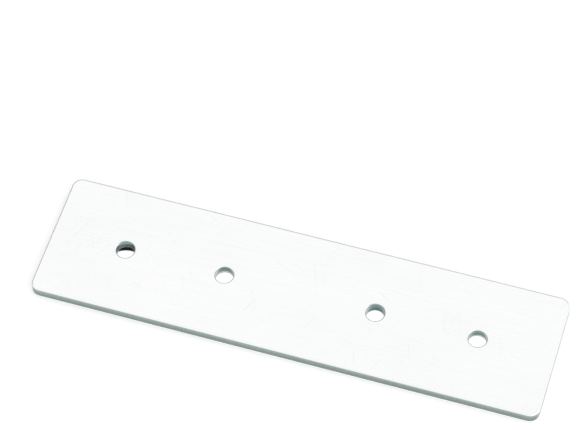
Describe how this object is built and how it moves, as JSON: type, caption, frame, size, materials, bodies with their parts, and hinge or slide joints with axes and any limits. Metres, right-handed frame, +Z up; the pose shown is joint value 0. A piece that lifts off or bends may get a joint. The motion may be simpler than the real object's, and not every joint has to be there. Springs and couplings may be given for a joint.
{
  "type": "extrusion joining plate",
  "caption": "Flat rectangular metal plate with rounded corners and a line of screw holes, for joining two aluminium framing extrusions end to end.",
  "frame": {"origin": "centre of the underside, on the line of the joint between the two extrusions", "axes": "+X along the plate, +Y across it, +Z up through the thickness, away from the extrusions"},
  "size_m": [0.15, 0.04, 0.0032],
  "materials": {
    "plate": "satin mill finish, pale silver, with greyer cut edges"
  },
  "bodies": {
    "root": {"joining_plate": "plate"}
  },
  "joints": []
}
